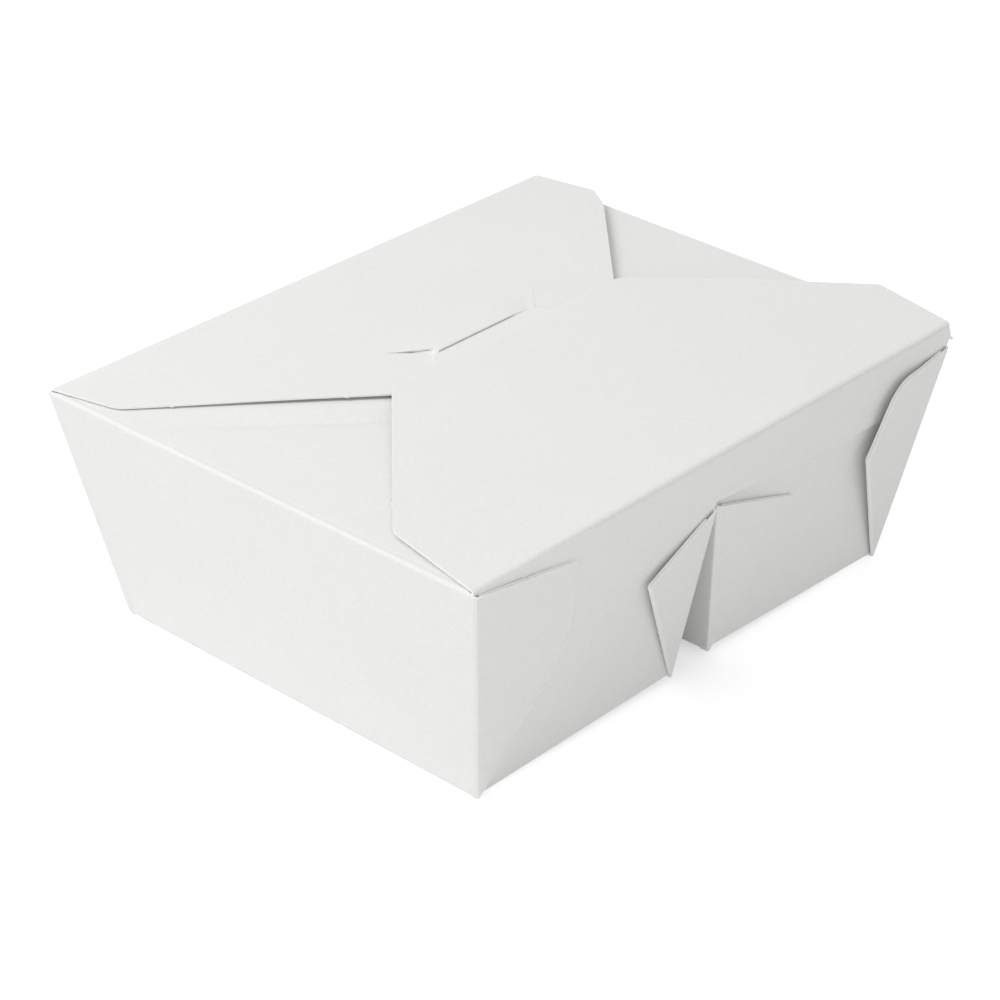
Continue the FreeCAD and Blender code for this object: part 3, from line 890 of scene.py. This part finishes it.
# %% Dust flaps
DUST_REACH = 57 * MM
DUST_INSET = 2.5 * MM
DUST_TAPER = 22 * MM
DUST_CORNER = 9 * MM
DUST_SAG = 0.7 * MM
SAG_POWER = 1.2
DUST_PITCH = 1.2 * MM
RIM_PLAY = 0.1 * MM
CREASE_LINE = 1.5 * MM
CREASE_WIDTH = 0.35 * MM
CREASE_DEPTH = 0.07 * MM
# Start, end and half width of the ridge and the dent that another flap has pressed, and their heights
FLAP_SWELL = ((-51.5 * MM, -2 * MM), (27.5 * MM, 86 * MM), 2.6 * MM)
FLAP_SWELL_HEIGHT = 0.8 * MM
FLAP_PRINT = ((-48 * MM, -6 * MM), (30 * MM, 81 * MM), 2.2 * MM)
FLAP_PRINT_DEPTH = 1.7 * MM
side_turn = math.pi / 2 + math.atan(SIDE_LEAN)


def dust_sheet(pressed):
    """A dust flap cut flat, with a strip of the wall below its crease, sagging towards its tip."""
    hinge = RIM_HALF_WIDTH - DUST_INSET
    tip = hinge - DUST_TAPER
    rim_end = RIM_HALF_WIDTH - RIM_PLAY
    strip = strip_length(side_turn)
    corners = [
        (-rim_end, -strip, 0),
        (rim_end, -strip, 0),
        (rim_end, 0, 0),
        (hinge, FOLD_RADIUS, 0),
        (tip, DUST_REACH, DUST_CORNER),
        (-tip, DUST_REACH, DUST_CORNER),
        (-hinge, FOLD_RADIUS, 0),
        (-rim_end, 0, 0),
    ]
    bm = cut_sheet(corners, DUST_PITCH, creases=(0, CREASE_LINE))
    # the painted edge highlight is kept off the crease and the wall strip below it
    finish_where(bm, OUTER_FINISH, lambda x, y: y < FOLD_RADIUS)

    def height(x, y):
        sag = DUST_SAG * (max(y - FOLD_RADIUS, 0) / DUST_REACH) ** SAG_POWER
        line = CREASE_DEPTH * math.exp(-(((y - CREASE_LINE) / CREASE_WIDTH) ** 2))
        return pressed(x, y) - sag - line

    shape_sheet(bm, height)
    return bm


def hang_dust_flap(bm, frame_matrix, inward, up):
    """Folds a dust flap over its side wall's rim."""
    start = frame_matrix @ Vector((-SIDE_FLARE, 0, WALL_HEIGHT))
    fold(bm, start, -FRONT, frame_matrix.to_3x3() @ -wall_way, inward, up)


flap_print = along_line(*FLAP_PRINT)
flap_swell = along_line(*FLAP_SWELL)
left_dust = dust_sheet(
    lambda x, y: FLAP_SWELL_HEIGHT * flap_swell(-x, y) - FLAP_PRINT_DEPTH * flap_print(-x, y)
)
right_dust = dust_sheet(lambda x, y: 0)
hang_dust_flap(left_dust, LEFT, left_along, left_up)
hang_dust_flap(right_dust, RIGHT, right_along, right_up)
raise_back(right_dust)
board_piece("dust_flaps", [left_dust, right_dust], "tray")

# %% [markdown]
# ## Slotted flap
# The back flap comes down first over the dust flaps. It has a slit, cut as a straight run with a short
# leg at each end, for the tab flap's tongue. The slit is cut from the flat sheet with narrow bisects: the
# faces that fall inside the cut are deleted.

# %% Slotted flap
FLAP_START = 0.4 * MM
SLOTTED_REACH = 79 * MM
SLIT_DISTANCE = 57.2 * MM
SLIT_START = 75.3 * MM
SLIT_LENGTH = 36.4 * MM
SLIT_LEG = 9.7 * MM
SLIT_WIDTH = 0.6 * MM
OPEN_LEG_WIDTH = 1.1 * MM
OPEN_LEG_RISE = 2.4 * MM
OPEN_LEG_REACH = 7.8 * MM
OPEN_LEG_OVERRUN = 0.3 * MM
CLOSED_LEG_WIDTH = 0.03 * MM
SLOT_MARGIN = 8 * MM
LIP_RISE = 1.0 * MM
LIP_PRESS = 0.1 * MM
LIP_DEPTH = 10 * MM
# How far before and past the slit's start and end its lip rises and falls
LIP_START = (-8 * MM, 3 * MM)
LIP_END = (-10 * MM, 2 * MM)
FLAP_CORNER = 6 * MM
LID_PITCH = 3 * MM
FINE_PITCH = 1.5 * MM
FINE_ROWS = 6
SLOTTED_NEAR_CORNER = (4.6 * MM, 19.9 * MM, FLAP_CORNER)
SLOTTED_END_CORNER = (70.5 * MM, SLOTTED_REACH, FLAP_CORNER)
END_NICK = 0.38
BACK_NICK = 0.76
# Start, end and half width of the free edges that spring up, and their heights
NEAR_EDGE = (SLOTTED_NEAR_CORNER[:2], (64 * MM, 73 * MM), 11 * MM)
NEAR_EDGE_LIFT = 0.2 * MM
FAR_EDGE = ((178 * MM, 15 * MM), (128 * MM, 70 * MM), 14 * MM)
FAR_EDGE_LIFT = 0.5 * MM


def cut_slot(bm, start, end, start_width, end_width):
    """Cuts a narrow slot out of a flat sheet, as wide as asked at each end."""
    start, end = Vector((*start, 0)), Vector((*end, 0))
    way = (end - start).normalized()
    across = way.cross(UP)
    taper = (end_width - start_width) / 2 / (end - start).length
    planes = [
        (start, -way),
        (end, way),
        (start + across * start_width / 2, (across - way * taper).normalized()),
        (start - across * start_width / 2, (-across - way * taper).normalized()),
    ]
    reach = (end - start).length / 2 + SLOT_MARGIN
    near = [f for f in bm.faces if (f.calc_center_median() - (start + end) / 2).length < reach]
    for point, normal in planes:
        corners = list({v for f in near for v in f.verts})
        sides = list({e for f in near for e in f.edges})
        cut = bmesh.ops.bisect_plane(
            bm, geom=corners + sides + near, dist=CUT_TOLERANCE, plane_co=point, plane_no=normal
        )
        near = of_kind(cut["geom"], bmesh.types.BMFace)
    inside = [
        f for f in near
        if all((f.calc_center_median() - point).dot(normal) < 0 for point, normal in planes)
    ]
    bmesh.ops.delete(bm, geom=inside, context="FACES")


lid_strip = strip_length(math.pi / 2 + END_ANGLE)
slotted_corners = [
    (FLAP_START, -lid_strip, 0),
    (RIM_LENGTH, -lid_strip, 0),
    (RIM_LENGTH, 0, 0),
    (177.3 * MM, 19.5 * MM, 1.5 * MM),
    (172.3 * MM, 27.2 * MM, 4 * MM),
    (119.2 * MM, SLOTTED_REACH, FLAP_CORNER),
    SLOTTED_END_CORNER,
    SLOTTED_NEAR_CORNER,
    (FLAP_START, 0, 0),
]
slotted_corners = nicked(slotted_corners, slotted_corners.index(SLOTTED_END_CORNER), END_NICK)
slotted_corners = nicked(slotted_corners, slotted_corners.index(SLOTTED_NEAR_CORNER) - 1, BACK_NICK)
slotted_sheet = cut_sheet(slotted_corners, LID_PITCH, creases=(0,))
finish_where(slotted_sheet, OUTER_FINISH, lambda x, y: y < 0)
# the rolled crease at the hinge takes the cut finish: a painted highlight along the fold
finish_where(slotted_sheet, CUT_EDGE_AND_HIGHLIGHT, lambda x, y: abs(y) < CREASE_HIGHLIGHT_WIDTH)
slit_end = SLIT_START + SLIT_LENGTH
cut_slot(slotted_sheet, (SLIT_START, SLIT_DISTANCE), (slit_end, SLIT_DISTANCE), SLIT_WIDTH, SLIT_WIDTH)
score_rows(slotted_sheet, 1, SLIT_DISTANCE, FINE_ROWS, FINE_PITCH)
lip_edge = SLIT_DISTANCE - SLIT_WIDTH / 2
# a band on the slit's far lip takes the cut finish: a painted highlight along the lip
score(slotted_sheet, 1, lip_edge - EDGE_HIGHLIGHT_WIDTH)
finish_where(
    slotted_sheet,
    CUT_EDGE_AND_HIGHLIGHT,
    lambda x, y: SLIT_START < x < slit_end and lip_edge - EDGE_HIGHLIGHT_WIDTH < y < lip_edge,
)
open_leg_y = SLIT_DISTANCE - OPEN_LEG_RISE
open_leg_start = (SLIT_START - OPEN_LEG_REACH, SLIT_DISTANCE - OPEN_LEG_REACH - OPEN_LEG_RISE)
open_leg_end = (SLIT_START + OPEN_LEG_OVERRUN, open_leg_y)
closed_leg_end = (slit_end + SLIT_LEG, SLIT_DISTANCE - SLIT_LEG)
# Start, end and the width at each of them: the open leg, its step up to the slit and the closed leg
LEGS = [
    (open_leg_start, open_leg_end, CLOSED_LEG_WIDTH, OPEN_LEG_WIDTH),
    (open_leg_end, (SLIT_START, SLIT_DISTANCE), CLOSED_LEG_WIDTH, CLOSED_LEG_WIDTH),
    ((slit_end, SLIT_DISTANCE), closed_leg_end, CLOSED_LEG_WIDTH, CLOSED_LEG_WIDTH),
]
for start, end, start_width, end_width in LEGS:
    cut_slot(slotted_sheet, start, end, start_width, end_width)
near_edge = along_line(*NEAR_EDGE)
far_edge = along_line(*FAR_EDGE)


def ramp(value, start, end):
    """Runs smoothly from 0 to 1 between two values."""
    share = min(max((value - start) / (end - start), 0), 1)
    return share * share * (3 - 2 * share)


def lip(x, y):
    """1 along the slit's run, falling away at its ends and towards the hinge."""
    start_share = ramp(x - SLIT_START, *LIP_START)
    end_share = 1 - ramp(x - slit_end, *LIP_END)
    return start_share * end_share * math.exp(-(((y - SLIT_DISTANCE) / LIP_DEPTH) ** 2))


def behind_cut(x, y):
    """Whether a point is on the hinge's side of the slit and its open leg."""
    leg_y = open_leg_y + min(x - SLIT_START, 0)
    return y < (SLIT_DISTANCE if x > open_leg_end[0] else leg_y)


def slotted_height(x, y):
    """Free edges spring up a little, and the tongue pushes up the slit's far lip."""
    lifted = NEAR_EDGE_LIFT * near_edge(x, y) + FAR_EDGE_LIFT * far_edge(x, y)
    if behind_cut(x, y):
        return lifted + LIP_RISE * lip(x, y)
    return lifted - LIP_PRESS * lip(x, y)


shape_sheet(slotted_sheet, slotted_height)
lid_start = on_end(LEFT, -SIDE_FLARE, LID_HEIGHT, PANEL_INSET)
fold(slotted_sheet, to_back(lid_start), left_along, -to_back(end_up(left_up)), FRONT, left_up)
board_piece("slotted_flap", [slotted_sheet], "tray")

# %% [markdown]
# ## Tab flap
# The front flap closes last. It is the only panel that opens without another one first, so it is the one
# that moves. Its board runs on round the front crease and a little way down the end wall.

# %% Tab flap
TAB_RISE = math.radians(1.0)
TAB_REACH = 77.8 * MM
TONGUE_PLAY = 0.35 * MM
tongue_left = SLIT_START + TONGUE_PLAY
tongue_right = slit_end - TONGUE_PLAY
slit_from_hinge = 2 * RIM_HALF_WIDTH - SLIT_DISTANCE
TONGUE_TAPER = 3 * MM
TONGUE_SHOULDER = 5 * MM
TONGUE_LENGTH = 16 * MM
DIVE_START = 74 * MM
DIVE_PAST = 2 * MM
DIVE_DEPTH = 1.35 * MM
DIVE_SLOPE = 0.22
DIVE_SIDE = 9 * MM
DIVE_ROWS = 12
TAB_NEAR_END = (54.3 * MM, TAB_REACH, 3 * MM)
TAB_NICK = 0.82


def dive(x, y):
    """How far the tab flap slopes down to pass under the slit's far lip."""
    middle_x = (tongue_left + tongue_right) / 2
    side_way = max(abs(x - middle_x) - (tongue_right - tongue_left) / 2, 0) / DIVE_SIDE
    dive_end = slit_from_hinge + DIVE_PAST
    fall = DIVE_DEPTH * ramp(y, DIVE_START, dive_end) + DIVE_SLOPE * max(y - dive_end, 0)
    return fall * math.exp(-side_way * side_way)


tab_corners = [
    (FLAP_START, -lid_strip, 0),
    (RIM_LENGTH, -lid_strip, 0),
    (RIM_LENGTH, 0, 0),
    (180 * MM, 25.5 * MM, 2 * MM),
    (158.5 * MM, 52.8 * MM, 60 * MM),
    (136 * MM, TAB_REACH, FLAP_CORNER),
    (tongue_right - 1.5 * MM, TAB_REACH, 0.7 * MM),
    (tongue_right, slit_from_hinge, 0),
    (tongue_right + TONGUE_TAPER, slit_from_hinge + TONGUE_SHOULDER, 1.5 * MM),
    (tongue_right, slit_from_hinge + TONGUE_LENGTH, 5 * MM),
    (tongue_left, slit_from_hinge + TONGUE_LENGTH, 5 * MM),
    (tongue_left - TONGUE_TAPER, slit_from_hinge + TONGUE_SHOULDER, 1.5 * MM),
    (tongue_left, slit_from_hinge, 0),
    (tongue_left - 7 * MM, TAB_REACH, 3.5 * MM),
    TAB_NEAR_END,
    (6.4 * MM, 30 * MM, FLAP_CORNER),
    (FLAP_START, 0, 0),
]
tab_corners = nicked(tab_corners, tab_corners.index(TAB_NEAR_END), TAB_NICK)
tab_sheet = cut_sheet(tab_corners, LID_PITCH, creases=(0,))
finish_where(tab_sheet, OUTER_FINISH, lambda x, y: y < 0)
# the rolled crease at the hinge takes the cut finish: a painted highlight along the fold
finish_where(tab_sheet, CUT_EDGE_AND_HIGHLIGHT, lambda x, y: abs(y) < CREASE_HIGHLIGHT_WIDTH)
for step in range(DIVE_ROWS):
    score(tab_sheet, 1, DIVE_START + step * FINE_PITCH)
shape_sheet(tab_sheet, lambda x, y: -dive(x, y))
tab_on = Matrix.Rotation(TAB_RISE, 3, left_along) @ -FRONT
fold(tab_sheet, lid_start, left_along, -end_up(left_up), tab_on, left_up)
tab_flap = board_piece("tab_flap_panel", [tab_sheet], "tab_flap")
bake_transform(tab_flap)

# %% [markdown]
# ## Studio
# A pale floor, a white surround and two soft lamps. The floor is white to the camera and keeps the
# carton's faint shadow, and the lamps stay low enough that the white board never clips.

# %% Studio
FLOOR_HALF = 4.0
FLOOR_TONE = 0.9
FLOOR_GLOW = 0.46
FLOOR_ROUGHNESS = 0.9
WORLD_LIGHT = 0.6
WHITE = (1, 1, 1, 1)
LAMP_AIM = (0, 0, 0.04)
# Place in metres, size in metres and power in watts of each lamp
LAMPS = {
    "key_lamp": ((-0.56, 0.42, 0.85), 0.6, 4.5),
    "fill_lamp": ((-0.7, -0.7, 0.45), 0.4, 0.9),
}


def camera_sees(tree):
    """1 for rays that the camera sees, also through glass or in a mirror, and 0 for the light's own."""
    path = tree.nodes.new("ShaderNodeLightPath").outputs
    seen = math_node(tree, "MAXIMUM", path["Is Camera Ray"], path["Is Glossy Ray"])
    return math_node(tree, "MAXIMUM", seen, path["Is Transmission Ray"])


floor_mesh = bpy.data.meshes.new("studio_floor")
floor_bm = bmesh.new()
bmesh.ops.create_grid(floor_bm, x_segments=1, y_segments=1, size=FLOOR_HALF)
floor_bm.to_mesh(floor_mesh)
floor_bm.free()
floor = bpy.data.objects.new("studio_floor", floor_mesh)
bpy.context.scene.collection.objects.link(floor)
floor_material = bpy.data.materials.new("studio_floor_white")
floor_material.use_nodes = True
floor_tree = floor_material.node_tree
floor_surface = floor_tree.nodes["Principled BSDF"]
floor_surface.inputs["Base Color"].default_value = (FLOOR_TONE, FLOOR_TONE, FLOOR_TONE, 1)
floor_surface.inputs["Roughness"].default_value = FLOOR_ROUGHNESS
floor_surface.inputs["Emission Color"].default_value = WHITE
glow = math_node(floor_tree, "MULTIPLY", camera_sees(floor_tree), FLOOR_GLOW)
floor_tree.links.new(glow, floor_surface.inputs["Emission Strength"])
floor_mesh.materials.append(floor_material)

world = bpy.data.worlds.new("studio_world")
bpy.context.scene.world = world
world.use_nodes = True
world_tree = world.node_tree
background = world_tree.nodes["Background"]
background.inputs["Color"].default_value = WHITE
added_light = math_node(world_tree, "MULTIPLY", camera_sees(world_tree), 1 - WORLD_LIGHT)
world_tree.links.new(math_node(world_tree, "ADD", added_light, WORLD_LIGHT), background.inputs["Strength"])


def soft_lamp(name, place, size, power):
    """A square area lamp that looks at the carton."""
    data = bpy.data.lights.new(name, "AREA")
    data.size = size
    data.energy = power
    lamp = bpy.data.objects.new(name, data)
    lamp.location = place
    lamp.rotation_euler = (Vector(LAMP_AIM) - Vector(place)).to_track_quat("-Z", "Y").to_euler()
    bpy.context.scene.collection.objects.link(lamp)


for name, values in LAMPS.items():
    soft_lamp(name, *values)
print("studio ready")

# %% [markdown]
# ## Camera
# A long lens from above one corner: the photograph's own place, worked out from the carton's corners.

# %% Camera
LENS_LENGTH = 103.48
SENSOR_WIDTH = 36
CAMERA_PLACE = (-0.47162, -0.43158, 0.37580)
CAMERA_RIGHT = Vector((0.68074, -0.73252, 0.00363))
CAMERA_DOWN = Vector((-0.35111, -0.33063, -0.87602))
CAMERA_FORWARD = Vector((0.64290, 0.59507, -0.48226))

camera_data = bpy.data.cameras.new("camera")
camera_data.lens = LENS_LENGTH
camera_data.sensor_width = SENSOR_WIDTH
camera = bpy.data.objects.new("camera", camera_data)
turn = Matrix((CAMERA_RIGHT, -CAMERA_DOWN, -CAMERA_FORWARD)).transposed()
camera.matrix_world = Matrix.Translation(CAMERA_PLACE) @ turn.to_4x4()
bpy.context.scene.collection.objects.link(camera)
bpy.context.scene.camera = camera
bpy.context.scene.view_settings.view_transform = "Standard"
